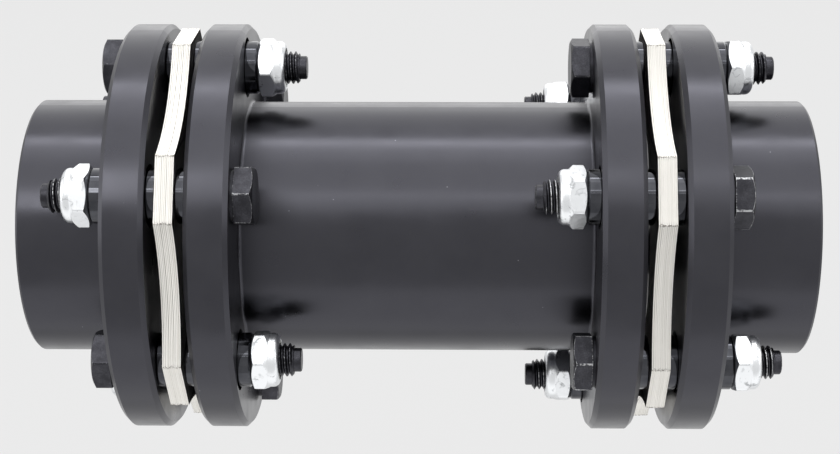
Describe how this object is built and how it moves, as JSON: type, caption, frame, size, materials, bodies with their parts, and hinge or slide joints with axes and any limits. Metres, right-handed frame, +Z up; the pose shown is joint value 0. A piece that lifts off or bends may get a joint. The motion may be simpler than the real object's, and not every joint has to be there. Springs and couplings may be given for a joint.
{
  "type": "spacer disc coupling",
  "caption": "Flexible shaft coupling: two keyed hubs joined by a flanged tube through two packs of thin steel discs, clamped by bolts with lock nuts.",
  "frame": {"origin": "on the shaft axis, at the middle of the spacer", "axes": "+X along the shafts, from the left hub to the right hub; +Z up; +Y away from the viewer"},
  "size_m": [0.191, 0.102, 0.102],
  "materials": {
    "hub_steel": "satin black oxide",
    "tube_steel": "satin black oxide",
    "disc_stainless": "rolled stainless sheet, sheared edges",
    "bolt_steel": "rough black oxide",
    "washer_steel": "polished black oxide",
    "sleeve_steel": "polished black oxide",
    "nut_zinc": "bright zinc plate",
    "lock_ring_nylon": "natural nylon"
  },
  "bodies": {
    "root": {"left_hub": "hub_steel", "right_hub": "hub_steel", "spacer": "tube_steel", "left_disc_pack": "disc_stainless", "left_bolt_1": "bolt_steel", "left_washer_1": "washer_steel", "left_sleeve_1": "sleeve_steel", "left_nut_1": "nut_zinc", "left_bolt_2": "bolt_steel", "left_washer_2": "washer_steel", "left_sleeve_2": "sleeve_steel", "left_nut_2": "nut_zinc", "left_bolt_3": "bolt_steel", "left_washer_3": "washer_steel", "left_sleeve_3": "sleeve_steel", "left_nut_3": "nut_zinc", "left_bolt_4": "bolt_steel", "left_washer_4": "washer_steel", "left_sleeve_4": "sleeve_steel", "left_nut_4": "nut_zinc", "left_bolt_5": "bolt_steel", "left_washer_5": "washer_steel", "left_sleeve_5": "sleeve_steel", "left_nut_5": "nut_zinc", "left_bolt_6": "bolt_steel", "left_washer_6": "washer_steel", "left_sleeve_6": "sleeve_steel", "left_nut_6": "nut_zinc", "left_lock_rings": "lock_ring_nylon", "right_disc_pack": "disc_stainless", "right_bolt_1": "bolt_steel", "right_washer_1": "washer_steel", "right_sleeve_1": "sleeve_steel", "right_nut_1": "nut_zinc", "right_bolt_2": "bolt_steel", "right_washer_2": "washer_steel", "right_sleeve_2": "sleeve_steel", "right_nut_2": "nut_zinc", "right_bolt_3": "bolt_steel", "right_washer_3": "washer_steel", "right_sleeve_3": "sleeve_steel", "right_nut_3": "nut_zinc", "right_bolt_4": "bolt_steel", "right_washer_4": "washer_steel", "right_sleeve_4": "sleeve_steel", "right_nut_4": "nut_zinc", "right_bolt_5": "bolt_steel", "right_washer_5": "washer_steel", "right_sleeve_5": "sleeve_steel", "right_nut_5": "nut_zinc", "right_bolt_6": "bolt_steel", "right_washer_6": "washer_steel", "right_sleeve_6": "sleeve_steel", "right_nut_6": "nut_zinc", "right_lock_rings": "lock_ring_nylon"}
  },
  "joints": []
}
